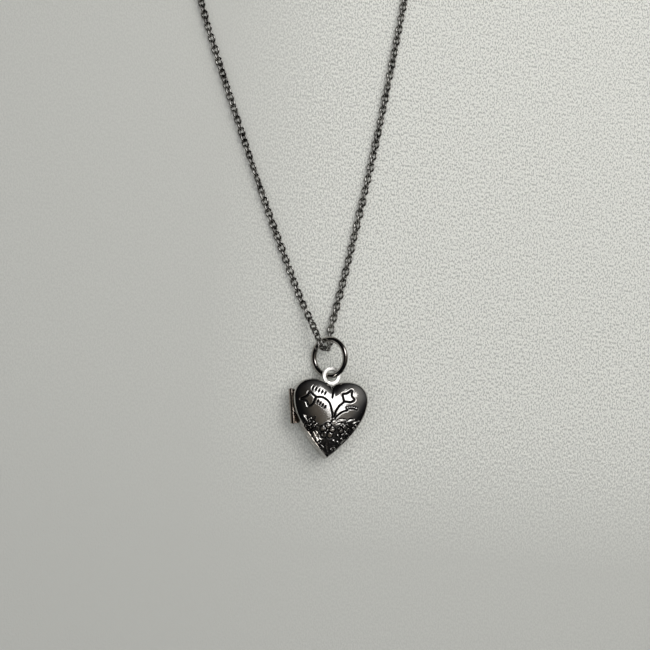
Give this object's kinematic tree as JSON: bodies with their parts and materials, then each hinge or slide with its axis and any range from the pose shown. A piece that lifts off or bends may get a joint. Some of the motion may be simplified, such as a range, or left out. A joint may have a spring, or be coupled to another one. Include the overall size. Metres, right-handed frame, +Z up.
{
  "type": "heart locket on a chain",
  "caption": "Small engraved heart locket that opens on a side hinge, hung by a split ring on a fine cable chain with a lobster clasp.",
  "frame": {"origin": "on the surface that the locket lies on, under the middle of the closed locket with its jump ring", "axes": "+Y from the heart's tip to the chain, +Z up out of the surface, +X to the right of the engraved cover, away from the hinge"},
  "size_m": [0.049, 0.1177, 0.0064],
  "materials": {
    "shell_steel": "polished stamped steel with blackened engraving",
    "frame_steel": "satin",
    "clear_leaf": "clear plastic",
    "hinge_steel": "polished",
    "bright_steel": "polished",
    "ring_steel": "polished",
    "chain_steel": "polished, rubbed",
    "clasp_steel": "polished"
  },
  "bodies": {
    "necklace": {"chain_run": "chain_steel", "chain_coil": "chain_steel", "chain_tail": "chain_steel", "tag_ring": "ring_steel", "clasp_ring": "ring_steel"},
    "jump_ring": {"jump_ring": "ring_steel"},
    "locket_back": {"back_shell": "shell_steel", "back_photo_frame": "frame_steel", "back_window": "clear_leaf", "back_hinge_knuckle_upper": "hinge_steel", "back_hinge_knuckle_lower": "hinge_steel", "hinge_pin": "hinge_steel", "catch_nib": "frame_steel", "bail_eyelet": "bright_steel"},
    "locket_cover": {"front_shell": "shell_steel", "front_photo_frame": "frame_steel", "front_window": "clear_leaf", "front_hinge_knuckle": "hinge_steel"},
    "end_tag": {"end_tag": "bright_steel"},
    "clasp": {"clasp_body": "clasp_steel", "clasp_pin": "hinge_steel", "clasp_spring": "hinge_steel"},
    "clasp_trigger": {"clasp_trigger": "clasp_steel"}
  },
  "joints": [
    {"name": "ring_swing", "type": "hinge", "parent": "necklace", "child": "jump_ring", "pos_m": [-0.00204, 0.01139, 0.00248], "axis": [-0.5837, -0.3794, -0.7178], "range_deg": [0, 50]},
    {"name": "locket_swing", "type": "hinge", "parent": "jump_ring", "child": "locket_back", "pos_m": [-0.00022, 0.00454, 0.00299], "axis": [-0.6683, -0.0612, -0.7413], "range_deg": [0, 40]},
    {"name": "cover_hinge", "type": "hinge", "parent": "locket_back", "child": "locket_cover", "pos_m": [-0.00765, -0.0023, 0.0029], "axis": [0.1392, -0.9903, 0], "range_deg": [0, 150]},
    {"name": "tag_swing", "type": "hinge", "parent": "necklace", "child": "end_tag", "pos_m": [0.01133, 0.09218, 0.00141], "axis": [0.5693, -0.0696, 0.8192], "range_deg": [0, 30]},
    {"name": "clasp_swing", "type": "hinge", "parent": "necklace", "child": "clasp", "pos_m": [-0.00584, 0.09411, 0.00141], "axis": [-0.5709, -0.0552, 0.8192], "range_deg": [0, 25]},
    {"name": "trigger_press", "type": "hinge", "parent": "clasp", "child": "clasp_trigger", "pos_m": [-0.00378, 0.091, 0.00127], "axis": [-0.0039, 0.0404, -0.9992], "range_deg": [0, 20], "stiffness_Nm_per_rad": 0.0005, "springref_deg": -11.46}
  ]
}
